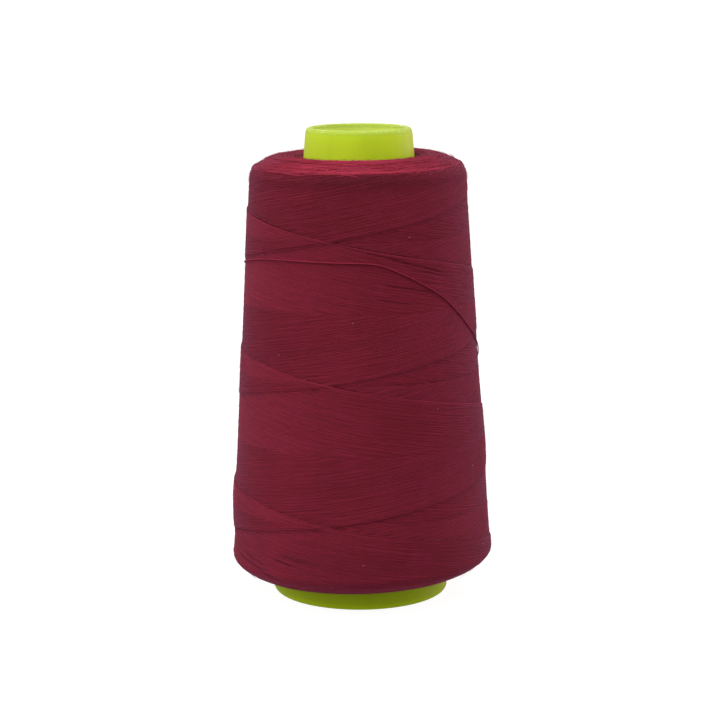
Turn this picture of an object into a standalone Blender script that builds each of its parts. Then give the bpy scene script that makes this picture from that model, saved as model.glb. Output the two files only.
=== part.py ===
"""Cone of sewing thread: a cross-wound package on a tapered plastic core, with its loose end.

The core stands on its wide end, centred on the origin, and +Z runs up its axis.
Azimuths are measured from the front (-Y) towards +X.
"""

import math

import bmesh
import bpy
import numpy as np
from mathutils import Vector

# Driving dimensions, in metres
HEIGHT = 0.115
GAP = 0.0003

CORE_TAPER = math.radians(4 + 20 / 60)
CORE_FOOT_RADIUS = 0.02162
CORE_WALL = 0.0017
CORE_FOOT_WALL = 0.0022
CORE_FOOT_HEIGHT = 0.008
CORE_RIM_ROUND = 0.0008
CORE_FOOT_ROUND = 0.0012
CORE_INSIDE_ROUND = 0.0003

WINDING_FOOT = 0.0054
WINDING_CREST = 0.1086
CREST_RADIUS = 0.0185
CREST_DIP = 0.0009
SHOULDER_RADIUS = 0.0263
SHOULDER_HEIGHT = 0.1044
SHOULDER_BEVEL = 0.0009
SHOULDER_RISE = 0.0015
HIP_RADIUS = 0.0323
HIP_HEIGHT = 0.0102
FOOT_FACE_RADIUS = 0.0247
FOOT_CURVE_POWER = 1.21

# The winding leans a little to the left on its core, and its two ends are wound slightly askew.
LEAN = 0.0072
LEAN_HEIGHT = 0.055
TOP_TILT = 0.013
TOP_TILT_BAND = (0.098, 0.105)
FOOT_TILT = 0.024
FOOT_TILT_BAND = (0.018, 0.009)
SEAT_BAND = 0.003

# The lay of the thread: a turn climbs or falls this far, and each way of laying ends in a step
# that winds round the package. Heights are those of the two steps at the front.
LAY = 0.0336
FALLING_STEP_HEIGHT = 0.08895
RISING_STEP_HEIGHT = 0.0915
FALLING_STEP = 0.00026
RISING_STEP = 0.00022
LOW_STEP_GAIN = 0.9
LOW_STEP_HEIGHT = 0.023
LOW_STEP_SPREAD = 0.011
STEP_WIDTH = 0.08

# Where the winding was built up unevenly: azimuth in degrees, height in millimetres, how far it
# stands proud in millimetres, and its reach each way in degrees and in millimetres.
UNEVEN_BUILD = (
    (95, 39, 0.30, 55, 9),
    (-95, 25, 0.30, 40, 6),
    (-95, 14, -0.35, 45, 4),
)

THREAD_DIAMETER = 0.00035
THREAD_STAND_OFF = 0.00036
THREAD_POINTS = 80

TURNED_STEPS = 60
FLANK_ROWS = 34

# The loose end's route: azimuth in degrees, height in millimetres, and the distance from the
# axis in millimetres, or None where it lies on the winding's flank.
LOOSE_END_ROUTE = (
    (-125, 78.9, None),
    (-103, 81.0, None),
    (-80, 83.1, None),
    (-56, 85.0, None),
    (-35, 85.6, None),
    (-14, 85.6, None),
    (2, 85.5, None),
    (11, 84.9, None),
    (21, 82.9, None),
    (31, 80.4, None),
    (43, 77.0, None),
    (55, 72.5, None),
    (67, 67.6, None),
    (87, 61.0, None),
    (115, 52.0, None),
    (145, 42.6, None),
    (175, 33.2, None),
    (202, 24.2, None),
    (222, 17.4, None),
    (235, 12.8, None),
    (241, 9.1, 32.6),
    (245, 6.7, 30.6),
    (248, 5.1, 28.0),
    (251, 4.5, 25.3),
    (254, 4.4, 22.6),
)


def clear_scene():
    for obj in list(bpy.data.objects):
        bpy.data.objects.remove(obj, do_unlink=True)


def new_collection(name):
    collection = bpy.data.collections.new(name)
    bpy.context.scene.collection.children.link(collection)
    return collection


def new_material(name, colour, roughness):
    material = bpy.data.materials.new(name)
    material.use_nodes = True
    shader = material.node_tree.nodes["Principled BSDF"]
    shader.inputs["Base Color"].default_value = (*colour, 1)
    shader.inputs["Roughness"].default_value = roughness
    shader.inputs["Metallic"].default_value = 0
    return material


def arc(centre, radius, start, end, count):
    """Points of an arc in the (radius, height) plane; angles in degrees from the outward direction."""
    angles = np.radians(np.linspace(start, end, count))
    return [
        (centre[0] + radius * math.cos(angle), centre[1] + radius * math.sin(angle))
        for angle in angles
    ]


def turned(name, outline, material, collection):
    """A closed outline at +X, turned about the axis by a Screw modifier."""
    bm = bmesh.new()
    corners = [bm.verts.new((radius, 0, height)) for radius, height in outline]
    for corner, following in zip(corners, corners[1:] + corners[:1]):
        bm.edges.new((corner, following))
    mesh = bpy.data.meshes.new(name)
    bm.to_mesh(mesh)
    bm.free()
    obj = bpy.data.objects.new(name, mesh)
    collection.objects.link(obj)
    screw = obj.modifiers.new("Turn", "SCREW")
    screw.axis = "Z"
    screw.angle = math.tau
    screw.steps = TURNED_STEPS
    screw.render_steps = TURNED_STEPS
    screw.use_merge_vertices = True
    screw.merge_threshold = 0.00001
    screw.use_smooth_shade = True
    mesh.materials.append(material)
    return obj


def core_radius(height):
    return CORE_FOOT_RADIUS - height * math.tan(CORE_TAPER)


def core_outline():
    """Down the outside from the collar's rim, under the foot and back up the bore."""
    rim = core_radius(HEIGHT)
    foot = core_radius(0)
    rim_height = HEIGHT - CORE_RIM_ROUND
    bore_top = rim - CORE_WALL
    bore_foot = foot - CORE_FOOT_WALL
    outline = arc((rim - CORE_RIM_ROUND, rim_height), CORE_RIM_ROUND, 90, 0, 5)
    outline.append((core_radius(WINDING_CREST), WINDING_CREST))
    outline.append((core_radius(WINDING_FOOT), WINDING_FOOT))
    outline += arc((foot - CORE_FOOT_ROUND, CORE_FOOT_ROUND), CORE_FOOT_ROUND, 0, -90, 5)
    inside = arc((bore_foot + CORE_INSIDE_ROUND, CORE_INSIDE_ROUND), CORE_INSIDE_ROUND, -90, -180, 3)
    outline += inside
    outline.append((core_radius(CORE_FOOT_HEIGHT) - CORE_WALL, CORE_FOOT_HEIGHT))
    outline += arc((bore_top + CORE_RIM_ROUND, rim_height), CORE_RIM_ROUND, 180, 95, 4)
    return outline


def flank_radius(height):
    """The winding's side, a straight taper between its hip and its shoulder."""
    share = (height - HIP_HEIGHT) / (SHOULDER_HEIGHT - HIP_HEIGHT)
    return HIP_RADIUS + share * (SHOULDER_RADIUS - HIP_RADIUS)


def winding_outline():
    """From the top face's inner edge out over the shoulder, down the flank and under the hip."""
    seat_height = WINDING_CREST - CREST_DIP
    outline = [(core_radius(seat_height) + GAP, seat_height), (CREST_RADIUS, WINDING_CREST)]
    corner = SHOULDER_RADIUS - SHOULDER_BEVEL
    corner_height = SHOULDER_HEIGHT + SHOULDER_RISE
    for share in (0.3, 0.55, 0.8, 1):
        radius = CREST_RADIUS + share * (corner - CREST_RADIUS)
        outline.append((radius, WINDING_CREST - share**2 * (WINDING_CREST - corner_height)))
    for height in np.linspace(SHOULDER_HEIGHT, HIP_HEIGHT, FLANK_ROWS):
        outline.append((flank_radius(height), height))
    for angle in np.radians((20, 36, 52, 70, 90)):
        reach = max(math.cos(angle), 0) ** FOOT_CURVE_POWER
        drop = math.sin(angle) ** FOOT_CURVE_POWER
        radius = FOOT_FACE_RADIUS + reach * (HIP_RADIUS - FOOT_FACE_RADIUS)
        outline.append((radius, HIP_HEIGHT - drop * (HIP_HEIGHT - WINDING_FOOT)))
    outline.append((core_radius(WINDING_FOOT) + GAP, WINDING_FOOT))
    return outline


def step_profile(distance):
    """Full height just behind a step's edge, falling to nothing one lay further on."""
    share = distance / LAY % 1
    if share < STEP_WIDTH:
        return share / STEP_WIDTH
    return (1 - share) / (1 - STEP_WIDTH)


def relief(azimuth, height):
    """How far the wound layers stand proud of the plain taper at a point of the flank."""
    climb = LAY * azimuth / math.tau
    falling = step_profile(FALLING_STEP_HEIGHT - climb - height)
    rising = step_profile(height - RISING_STEP_HEIGHT - climb)
    low = math.exp(-(((height - LOW_STEP_HEIGHT) / LOW_STEP_SPREAD) ** 2))
    gain = 1 + LOW_STEP_GAIN * low
    proud = gain * (FALLING_STEP * (falling - 0.5) + RISING_STEP * (rising - 0.5))
    for middle, middle_height, amount, wide, tall in UNEVEN_BUILD:
        off = (math.degrees(azimuth) - middle + 180) % 360 - 180
        off_height = 1000 * height - middle_height
        proud += amount / 1000 * math.exp(-((off / wide) ** 2) - (off_height / tall) ** 2)
    return proud


def flank_share(radius, height):
    """One on the flank, fading to nothing over the shoulder, under the hip and in the bore."""
    if radius < flank_radius(height) - 0.5 * (HIP_RADIUS - FOOT_FACE_RADIUS):
        return 0
    above = (SHOULDER_HEIGHT + SHOULDER_RISE - height) / (2 * SHOULDER_RISE)
    below = (height - WINDING_FOOT) / (HIP_HEIGHT - WINDING_FOOT)
    return max(0, min(1, above, below))


def band_share(height, band):
    """Nought before a band of heights, rising to one past it."""
    return max(0, min(1, (height - band[0]) / (band[1] - band[0])))


def settled(x, y, height):
    """A point of the winding, moved by its lean and its askew ends but not where it meets the core."""
    clear = (math.hypot(x, y) - core_radius(height) - GAP) / SEAT_BAND
    clear = max(0, min(1, clear))
    tilt = TOP_TILT * band_share(height, TOP_TILT_BAND)
    tilt += FOOT_TILT * band_share(height, FOOT_TILT_BAND)
    lean = LEAN * (height - LEAN_HEIGHT)
    return Vector((x - clear * lean, y, height + clear * tilt * x))


def make_winding(material, collection):
    """The turned body, with the two stepped lays of the thread raised on its flank."""
    blank = turned("winding blank", winding_outline(), material, collection)
    graph = bpy.context.evaluated_depsgraph_get()
    mesh = bpy.data.meshes.new_from_object(blank.evaluated_get(graph))
    bpy.data.objects.remove(blank, do_unlink=True)
    for vertex in mesh.vertices:
        x, y, height = vertex.co
        radius = math.hypot(x, y)
        share = flank_share(radius, height)
        scale = 1 + share * relief(math.atan2(x, -y), height) / radius
        vertex.co = settled(x * scale, y * scale, height)
    mesh.name = "winding"
    winding = bpy.data.objects.new("winding", mesh)
    collection.objects.link(winding)
    return winding


def route_point(azimuth, height, radius):
    """One route point in space, on the winding's flank unless its distance is given."""
    angle = math.radians(azimuth)
    height = height / 1000
    if radius is None:
        lift = THREAD_STAND_OFF + THREAD_DIAMETER / 2
        distance = flank_radius(height) + relief(angle, height) + lift
    else:
        distance = radius / 1000
    return Vector((distance * math.sin(angle), -distance * math.cos(angle), height))


def smooth_route(route, count):
    """Evenly spaced points on a Catmull-Rom curve through the route, in azimuth and height."""
    rows = []
    for azimuth, height, radius in route:
        reach = route_point(azimuth, height, radius).xy.length * 1000
        flank = flank_radius(height / 1000) * 1000
        rows.append((azimuth, height, reach - flank))
    rows = np.array(rows)
    rows = np.vstack((2 * rows[0] - rows[1], rows, 2 * rows[-1] - rows[-2]))
    fine = []
    for a, b, c, d in zip(rows, rows[1:], rows[2:], rows[3:]):
        for t in np.linspace(0, 1, 30, endpoint=False):
            cubic = (3 * b - 3 * c + d - a) * t**3 + (2 * a - 5 * b + 4 * c - d) * t**2
            fine.append((cubic + (c - a) * t + 2 * b) / 2)
    fine.append(rows[-2])
    points = []
    for azimuth, height, proud in fine:
        distance = flank_radius(height / 1000) * 1000 + proud
        points.append(settled(*route_point(azimuth, height, distance)))
    points = np.array(points)
    lengths = np.linalg.norm(np.diff(points, axis=0), axis=1)
    run = np.concatenate(([0], np.cumsum(lengths)))
    stations = np.linspace(0, run[-1], count)
    return np.column_stack([np.interp(stations, run, column) for column in points.T])


def make_loose_end(material, collection):
    points = smooth_route(LOOSE_END_ROUTE, THREAD_POINTS)
    curve = bpy.data.curves.new("loose_end", "CURVE")
    curve.dimensions = "3D"
    curve.bevel_depth = THREAD_DIAMETER / 2
    curve.bevel_resolution = 2
    curve.use_fill_caps = True
    spline = curve.splines.new("POLY")
    spline.points.add(len(points) - 1)
    for corner, point in zip(spline.points, points):
        corner.co = (*point, 1)
    curve.materials.append(material)
    obj = bpy.data.objects.new("loose_end", curve)
    collection.objects.link(obj)
    return obj


def main():
    clear_scene()
    parts = new_collection("cone of thread")
    plastic = new_material("lime plastic", (0.42, 0.55, 0.04), 0.45)
    thread = new_material("crimson thread", (0.16, 0.014, 0.028), 0.8)
    turned("core", core_outline(), plastic, parts)
    make_winding(thread, parts)
    make_loose_end(thread, parts)


main()
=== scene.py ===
"""Cone of sewing thread: the looks of the plastic core, the cross-wound thread and its loose end.

Lengths are in metres. A turn, or an azimuth in degrees, is measured from the front (-Y) towards +X.
"""

import math

import bpy
import numpy as np
from mathutils import Euler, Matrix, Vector


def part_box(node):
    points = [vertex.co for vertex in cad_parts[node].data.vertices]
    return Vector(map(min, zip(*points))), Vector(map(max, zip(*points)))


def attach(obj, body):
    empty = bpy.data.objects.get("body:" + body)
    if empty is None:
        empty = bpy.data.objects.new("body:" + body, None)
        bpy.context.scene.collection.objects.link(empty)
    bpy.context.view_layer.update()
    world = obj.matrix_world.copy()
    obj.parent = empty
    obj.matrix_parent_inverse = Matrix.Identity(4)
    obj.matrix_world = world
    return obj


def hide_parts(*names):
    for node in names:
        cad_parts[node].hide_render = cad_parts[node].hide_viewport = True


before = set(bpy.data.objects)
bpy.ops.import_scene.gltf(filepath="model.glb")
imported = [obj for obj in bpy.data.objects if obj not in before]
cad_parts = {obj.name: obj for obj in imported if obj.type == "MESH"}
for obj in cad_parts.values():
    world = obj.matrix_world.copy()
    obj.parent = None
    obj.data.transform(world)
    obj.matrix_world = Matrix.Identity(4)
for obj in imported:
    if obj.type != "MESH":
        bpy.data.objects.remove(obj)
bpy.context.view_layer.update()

# The core: one hollow cone, injection moulded in a lime plastic that lets a little light through.
# Its wall has the standard taper, the collar's rim and the foot have small rounded edges, and the
# rim carries pale flecks of painted highlight.
core_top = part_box("core")[1]
CORE_HEIGHT = core_top.z
CORE_FOOT_RADIUS = core_top.x
CORE_TAPER = math.tan(math.radians(4 + 20 / 60))
CORE_WALL = 0.0017
CORE_RIM_ROUND = 0.0011
CORE_FOOT_WALL = 0.0022
CORE_FOOT_HEIGHT = 0.008
CORE_FOOT_ROUND = 0.0012
CORE_LIP_ROUND = 0.0003
CORE_AROUND = 192
# The heights between which the straight outside, the foot's thicker wall and the straight bore run.
CORE_OUTSIDE = (CORE_HEIGHT - CORE_RIM_ROUND - 0.0006, CORE_FOOT_ROUND + 0.0006)
CORE_THICKER_WALL = (CORE_FOOT_HEIGHT - 0.0012, CORE_FOOT_HEIGHT)
CORE_BORE = (CORE_FOOT_HEIGHT + 0.002, CORE_HEIGHT - 0.0012)
# Copies of one lime with light and shade painted in: sunlit; shaded low down, also the darker colour
# of the flow lines; the rim's own darker, bluer copy; the bore's mouth painted paler, as lit; and the
# pale glint flecked on the rim.
CORE_SUNLIT_LIME = (0.455, 0.585, 0.019, 1)
CORE_SHADE_AND_FLOW_LIME = (0.32, 0.42, 0.001, 1)
CORE_RIM_LIME = (0.31, 0.40, 0.054, 1)
CORE_BORE_LIME = (0.68, 0.77, 0.18, 1)
CORE_RIM_GLINT = (0.50, 0.57, 0.27, 1)
# The plastic is painted sunlit above this height and painted darker below it, as shade. The bore
# is painted paler near its mouth, as if lit there, and only the rim has the flecks of painted
# highlight: the last two are bands of heights.
CORE_SUNLIT_FROM = 0.08
CORE_MOUTH = (CORE_HEIGHT - 0.040, CORE_HEIGHT - 0.010)
CORE_RIM_BAND = (CORE_HEIGHT - 0.0016, CORE_HEIGHT - 0.0002)


class Wire:
    """An output socket in a material's tree. Sums and products of wires add Math nodes."""

    def __init__(self, tree, socket=None):
        self.tree = tree
        self.socket = socket

    def node(self, kind, settings=None, sockets=None, output=0):
        """Any node: its settings are made first, then its sockets' values or links."""
        made = self.tree.nodes.new(kind)
        for name, value in (settings or {}).items():
            setattr(made, name, value)
        for name, value in (sockets or {}).items():
            if isinstance(value, Wire):
                self.tree.links.new(value.socket, made.inputs[name])
            else:
                made.inputs[name].default_value = value
        return Wire(self.tree, made.outputs[output])

    def maths(self, operation, *values):
        """A Math node on these values, none of them a colour."""
        return self.node("ShaderNodeMath", {"operation": operation}, dict(enumerate(values)))

    def __add__(self, other):
        return self.maths("ADD", self, other)

    __radd__ = __add__

    def __sub__(self, other):
        return self.maths("SUBTRACT", self, other)

    def __rsub__(self, other):
        return self.maths("SUBTRACT", other, self)

    def __mul__(self, other):
        return self.maths("MULTIPLY", self, other)

    __rmul__ = __mul__

    def between(self, low, high):
        """Nought below low, one above high, and smooth from one to the other."""
        sockets = {"Value": self, "From Min": low, "From Max": high}
        return self.node("ShaderNodeMapRange", {"interpolation_type": "SMOOTHSTEP"}, sockets)

    def mix(self, first, second):
        """The first colour where this wire is nought, the second where it is one."""
        sockets = {"Factor": self, 6: first, 7: second}
        return self.node("ShaderNodeMix", {"data_type": "RGBA"}, sockets, output=2)

    def stretched(self, scale):
        """This wire's vector, times a vector."""
        return self.node("ShaderNodeVectorMath", {"operation": "MULTIPLY"}, {0: self, 1: scale})

    def length(self):
        """How long this wire's vector is."""
        return self.node("ShaderNodeVectorMath", {"operation": "LENGTH"}, {0: self}, output=1)

    def noise(self, scale, detail=2.0, roughness=0.5):
        """Cloudy noise, read at the place that this wire gives."""
        sockets = {"Vector": self, "Scale": scale, "Detail": detail, "Roughness": roughness}
        return self.node("ShaderNodeTexNoise", None, sockets)

    def split(self, axis):
        """One part of this wire's vector: 0 for x, 1 for y, 2 for z."""
        return self.node("ShaderNodeSeparateXYZ", None, {"Vector": self}, output=axis)

    def bump(self, strength, distance):
        """A normal that this wire, as a height, bends."""
        sockets = {"Strength": strength, "Distance": distance, "Height": self}
        return self.node("ShaderNodeBump", None, sockets)


def new_material(name, constants):
    """A Principled material with its constant values set, its shader and the place on its piece."""
    material = bpy.data.materials.new(name)
    material.use_nodes = True
    shader = material.node_tree.nodes["Principled BSDF"]
    for socket, value in constants.items():
        shader.inputs[socket].default_value = value
    place = Wire(material.node_tree).node("ShaderNodeTexCoord", output=3)
    return material, shader, place


def feed(shader, varying):
    """Links each wire to the shader's socket of that name."""
    for socket, wire in varying.items():
        wire.tree.links.new(wire.socket, shader.inputs[socket])


def core_radius(height):
    """The outside's distance from the axis at a height."""
    return CORE_FOOT_RADIUS - height * CORE_TAPER


def rounded(centre, radius, start, end, count):
    """Points of an arc in the (radius, height) plane, in degrees from the outward direction."""
    angles = np.radians(np.linspace(start, end, count))
    return [(centre[0] + radius * math.cos(a), centre[1] + radius * math.sin(a)) for a in angles]


def core_outline():
    """Down the outside from the rim, under the foot and back up the bore."""
    rim = core_radius(CORE_HEIGHT) - CORE_RIM_ROUND
    outline = rounded((rim, CORE_HEIGHT - CORE_RIM_ROUND), CORE_RIM_ROUND, 90, 4, 9)
    for height in np.linspace(*CORE_OUTSIDE, 40):
        outline.append((core_radius(height), height))
    foot = core_radius(0) - CORE_FOOT_ROUND
    outline += rounded((foot, CORE_FOOT_ROUND), CORE_FOOT_ROUND, 0, -90, 9)
    lip = core_radius(0) - CORE_FOOT_WALL + CORE_LIP_ROUND
    outline += rounded((lip, CORE_LIP_ROUND), CORE_LIP_ROUND, -90, -180, 4)
    for height in np.linspace(*CORE_THICKER_WALL, 4):
        share = height / CORE_FOOT_HEIGHT
        wall = CORE_FOOT_WALL + share * (CORE_WALL - CORE_FOOT_WALL)
        outline.append((core_radius(height) - wall, height))
    for height in np.linspace(*CORE_BORE, 30):
        outline.append((core_radius(height) - CORE_WALL, height))
    bore_round = CORE_WALL - CORE_RIM_ROUND
    outline += rounded((rim, CORE_HEIGHT - bore_round), bore_round, 176, 95, 6)
    return np.array(outline)


def new_piece(name, points, faces, material):
    """A smooth-shaded mesh object with its material."""
    mesh = bpy.data.meshes.new(name)
    mesh.from_pydata(points, [], faces)
    mesh.polygons.foreach_set("use_smooth", [True] * len(mesh.polygons))
    mesh.materials.append(material)
    piece = bpy.data.objects.new(name, mesh)
    bpy.context.scene.collection.objects.link(piece)
    return piece


def around(radius, height, turn):
    """Points in space from distances to the axis, heights and turns from the front."""
    angle = math.tau * turn
    x, y, z = np.broadcast_arrays(radius * np.sin(angle), -radius * np.cos(angle), height)
    return np.stack([x, y, z], axis=-1)


def grid_faces(rows, columns, wrap_rows):
    """Quads between neighbouring rows; a row's last point meets its first one."""
    row = np.arange(rows if wrap_rows else rows - 1)[:, None]
    column = np.arange(columns)[None, :]
    below = (row + 1) % rows * columns
    beside = (column + 1) % columns
    corners = (row * columns + column, below + column, below + beside, row * columns + beside)
    return np.stack(np.broadcast_arrays(*corners), axis=-1).reshape(-1, 4)


core_material, shader, place = new_material(
    "lime plastic",
    {
        "Subsurface Weight": 0.6,
        "Subsurface Radius": (1.0, 1.2, 0.15),
        "Subsurface Scale": 0.003,
        "Specular IOR Level": 0.12,
        "IOR": 1.49,
    },
)
height = place.split(2)
flow = place.stretched((1, 1, 0.12)).noise(210, 3, 0.55)
cloud = place.noise(120, 3)
grain = place.noise(2600, 3)
# Pale flecks on the rim, a painted highlight; the plastic is rougher there too.
rim_flecks = place.stretched((1, 1, 2.5)).noise(900, 2, 0.6).between(0.56, 0.70)
rim_only = height.between(*CORE_RIM_BAND)
# Painted shade: the outside darker low down, mixed with the flow lines' and clouds' own mottling.
low_down = 1 - height.between(0.0, CORE_SUNLIT_FROM)
deep = low_down * 0.9 + flow.between(0.3, 0.75) * 0.25 + cloud * 0.15
axis_distance = place.stretched((1, 1, 0)).length()
middle_of_wall = CORE_FOOT_RADIUS - CORE_WALL / 2 - height * CORE_TAPER
in_bore = 1 - (axis_distance - middle_of_wall).between(-0.0004, 0.0004)
outside_lime = deep.mix(CORE_SUNLIT_LIME, CORE_SHADE_AND_FLOW_LIME)
# Painted light: the bore paler towards its mouth.
bore_lime = height.between(*CORE_MOUTH).mix(CORE_SUNLIT_LIME, CORE_BORE_LIME)
# The rim takes its own copy of the lime, painted darker and bluer for the light that falls on it.
lime = rim_only.mix(in_bore.mix(outside_lime, bore_lime), CORE_RIM_LIME)
feed(
    shader,
    {
        "Base Color": (rim_flecks * rim_only * 0.7).mix(lime, CORE_RIM_GLINT),
        "Roughness": 0.40 + cloud * 0.12 + rim_only * rim_flecks * 0.2,
        "Normal": (grain * 0.3 + flow).bump(0.25, 0.0002),
    },
)
outline = core_outline()
turns = np.arange(CORE_AROUND) / CORE_AROUND
core_points = around(outline[:, :1], outline[:, 1:], turns[None, :])
core_faces = grid_faces(len(outline), CORE_AROUND, wrap_rows=True)
core = new_piece("plastic_core", core_points.reshape(-1, 3), core_faces, core_material)
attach(core, "root")
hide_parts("core")

# The winding's body: the mass of thread wound on the core, as a cone with rounded shoulders. The
# thread was laid up and down again, and each way of laying ends in a small step that winds round
# the cone. The body is the layer just under the threads that show.
# Its profile: the heights of its ends, its seat on the core, the crest of the top face, the
# shoulder, the hip and the face under it.
WINDING_FOOT = 0.0055
WINDING_CREST = 0.1085
SEAT_GAP = 0.0003
SEAT_DIP = 0.0009
CREST_RADIUS = 0.0185
SHOULDER_RADIUS = 0.0263
SHOULDER_HEIGHT = 0.1043
SHOULDER_BEVEL = 0.0009
SHOULDER_RISE = 0.0015
HIP_RADIUS = 0.0323
HIP_HEIGHT = 0.0102
FOOT_FACE_RADIUS = 0.0243
FOOT_CURVE_POWER = 1.21
PROFILE_STEP = 0.0001
PROFILE_ROUNDING = 0.0009
# The flank is the straight part, this far inside its two corners. The ridge is the shoulder's edge.
FLANK_MARGIN = 0.001
RIDGE_ABOVE_FLANK = 0.00275
# The winding leans a little to the left on its core, and its two ends are wound slightly askew.
LEAN = 0.0072
LEAN_HEIGHT = 0.055
TOP_TILT = 0.013
TOP_TILT_BAND = (0.098, 0.105)
FOOT_TILT = 0.024
FOOT_TILT_BAND = (0.018, 0.009)
SEAT_BAND = 0.003
# The lay: how far the thread runs down in a turn, the heights at the front where the two lays end,
# and the steps there. At the cone's left side the falling lay runs lower than its even slope.
LAY = 0.0336
FALLING_FRONT = 0.08895
RISING_FRONT = 0.0915
FALLING_STEP = 0.00026
RISING_STEP = 0.00017
STEP_WIDTH = 0.011
SIDE_DROP = 0.0019
SIDE_AZIMUTH = -108
SIDE_REACH = 40
# The steps are thickest round one height, and die away at the ridge and at the winding's foot.
THICK_STEPS_HEIGHT = 0.023
THICK_STEPS_REACH = 0.011
THICK_STEPS_GAIN = 0.4
STEPS_FADE_IN = 0.003
STEPS_FADE_OUT = 0.006
# The ridge stands a little proud, with a shallow crease on the top face just inside it.
RIDGE_RISE = 0.00016
RIDGE_REACH = 0.0006
CREASE_DEPTH = 0.00010
CREASE_FROM_RIDGE = 0.0016
CREASE_REACH = 0.0005
THREAD_WIDTH = 0.00026
# The body lies a little under the threads' centres, dips along the edges of the two lays, and
# follows the furrows more deeply than the threads do.
BODY_DEPTH = 0.00010
BODY_DIP = 0.00016
BODY_DIP_REACH = 0.0005
BODY_FURROW_GAIN = 1.3
BODY_AROUND = 200
BODY_ROWS = 400
# Where the cone was built up unevenly: azimuth in degrees, height in millimetres, how far it
# stands proud in millimetres, and its reach each way in degrees and in millimetres.
UNEVEN_BUILD = (
    (95, 39, 0.30, 55, 9),
    (-95, 25, 0.30, 40, 6),
    (-95, 14, -0.35, 45, 4),
    (50, 112, -0.30, 55, 5),
)
# Furrows between threads: the azimuths in degrees where one starts and ends, its height in
# millimetres at each, and its depth in millimetres.
FURROWS = (
    (-14, 18, 90.0, 86.2, 0.12),
    (14, 46, 86.6, 82.0, 0.17),
    (30, 46, 83.3, 81.3, 0.12),
    (13, 38, 80.2, 77.9, 0.12),
    (9, 28, 76.9, 75.3, 0.11),
    (2, 75, 56.9, 56.5, 0.06),
    (18, 72, 23.8, 23.6, 0.06),
    (-30, 12, 27.6, 24.4, 0.06),
    (-69, -48, 12.3, 10.7, 0.30),
    (-65, -48, 13.4, 12.0, 0.20),
    (-51, -39, 10.3, 9.1, 0.30),
    (-41, -31, 13.9, 13.0, 0.26),
    (-37, -22, 15.1, 13.9, 0.16),
    (55, 74, 12.2, 12.9, 0.10),
)
# A furrow's ends close over this many degrees. It reaches this many millimetres each way, and
# pushes the threads beside it apart by a share of its depth, over a longer reach.
FURROW_END = 4
FURROW_REACH = 0.22
PUSH_SHARE = 0.3
PUSH_REACH = 0.45


def hump(distance, reach):
    """One in the middle, dying away at about the reach on both sides."""
    return np.exp(-((distance / reach) ** 2))


def degrees_apart(turn, degrees):
    """How many degrees a turn lies past an azimuth, from -180 to 180."""
    return (360 * turn - degrees + 180) % 360 - 180


def run_of(points):
    """How far along a line of points each of them lies."""
    return np.concatenate(([0], np.cumsum(np.linalg.norm(np.diff(points, axis=0), axis=1))))


def winding_profile():
    """Distances from the axis and heights down the winding, evenly spaced, corners rounded."""
    seat = core_radius(WINDING_CREST - SEAT_DIP) + SEAT_GAP
    corners = []
    for share in np.linspace(1, 0, 8):
        radius = CREST_RADIUS - share * (CREST_RADIUS - seat)
        corners.append((radius, WINDING_CREST - SEAT_DIP * share**2))
    edge_radius = SHOULDER_RADIUS - SHOULDER_BEVEL
    drop = WINDING_CREST - SHOULDER_HEIGHT - SHOULDER_RISE
    for share in np.linspace(0.1, 1, 10):
        radius = CREST_RADIUS + share * (edge_radius - CREST_RADIUS)
        corners.append((radius, WINDING_CREST - drop * share**2))
    corners.append((SHOULDER_RADIUS, SHOULDER_HEIGHT))
    corners.append((HIP_RADIUS, HIP_HEIGHT))
    for angle in np.radians(np.linspace(12, 90, 9)):
        reach = max(math.cos(angle), 0) ** FOOT_CURVE_POWER
        radius = FOOT_FACE_RADIUS + reach * (HIP_RADIUS - FOOT_FACE_RADIUS)
        fall = math.sin(angle) ** FOOT_CURVE_POWER * (HIP_HEIGHT - WINDING_FOOT)
        corners.append((radius, HIP_HEIGHT - fall))
    corners.append((core_radius(WINDING_FOOT) + SEAT_GAP, WINDING_FOOT))
    corners = np.array(corners)
    run = run_of(corners)
    down = np.arange(0, run[-1], PROFILE_STEP)
    window = int(PROFILE_ROUNDING / PROFILE_STEP)
    half = window // 2
    smooth = []
    for column in corners.T:
        fine = np.pad(np.interp(down, run, column), half, mode="reflect", reflect_type="odd")
        mean = np.convolve(fine, np.ones(window) / window, mode="same")
        smooth.append(mean[half:][: len(down)])
    return down, *smooth


DOWN, DOWN_RADIUS, DOWN_HEIGHT = winding_profile()
SLOPE_RADIUS = np.gradient(DOWN_RADIUS, DOWN)
SLOPE_HEIGHT = np.gradient(DOWN_HEIGHT, DOWN)
below_shoulder = DOWN_HEIGHT < SHOULDER_HEIGHT - FLANK_MARGIN
flank = below_shoulder & (DOWN_HEIGHT > HIP_HEIGHT + FLANK_MARGIN)
FLANK_DROP = -SLOPE_HEIGHT[flank].mean()
SHOULDER_DOWN = DOWN[flank][0]
HIP_DOWN = DOWN[flank][-1]
RIDGE_DOWN = SHOULDER_DOWN - RIDGE_ABOVE_FLANK


def down_to(height):
    """How far down the profile the flank has this height."""
    return SHOULDER_DOWN + (DOWN_HEIGHT[flank][0] - height) / FLANK_DROP


def flank_height(down):
    """The height at a place down the flank, carried straight on past its ends."""
    return DOWN_HEIGHT[flank][0] - (down - SHOULDER_DOWN) * FLANK_DROP


def wander(turn):
    """How far the falling lay runs below its even slope, at the cone's left side."""
    return SIDE_DROP * hump(degrees_apart(turn, SIDE_AZIMUTH), SIDE_REACH)


def age(turn, down, falling):
    """Which share of a lay has been laid over each place since the thread passed it this way."""
    height = flank_height(down)
    if falling:
        return (FALLING_FRONT - wander(turn) - LAY * turn - height) / LAY % 1
    return (height - RISING_FRONT - LAY * turn) / LAY % 1


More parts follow.
